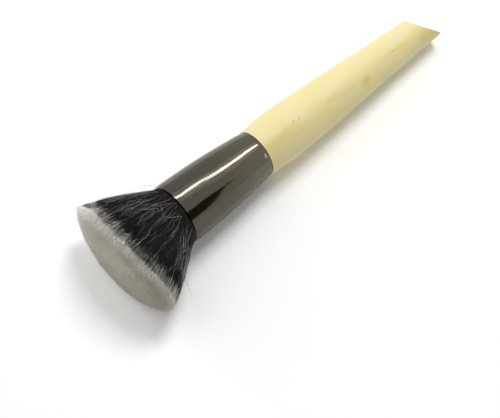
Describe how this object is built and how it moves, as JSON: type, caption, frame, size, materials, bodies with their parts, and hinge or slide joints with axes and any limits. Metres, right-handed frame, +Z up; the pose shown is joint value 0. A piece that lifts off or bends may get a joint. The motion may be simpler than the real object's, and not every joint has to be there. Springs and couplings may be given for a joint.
{
  "type": "flat foundation brush",
  "caption": "Flat-topped foundation brush with dark hair and longer pale fibres, a tapered metal ferrule and a turned handle with a slanted tail.",
  "frame": {"origin": "on the table, under the middle of the brush's box as it lies at rest", "axes": "+X from the hair towards the tail of the handle, +Z up from the table, +Y across the brush"},
  "size_m": [0.1518, 0.0476, 0.0261],
  "materials": {
    "bamboo": "satin lacquered pale bamboo with fine lengthwise grain",
    "gunmetal": "glossy dark grey plated aluminium",
    "resin": "cured amber resin",
    "dark_hair": "soft near-black hair",
    "pale_fibre": "soft off-white fibre"
  },
  "bodies": {
    "root": {"handle": "bamboo", "ferrule": "gunmetal", "resin_plug": "resin", "dark_hair": "dark_hair", "pale_fibre": "pale_fibre"}
  },
  "joints": []
}
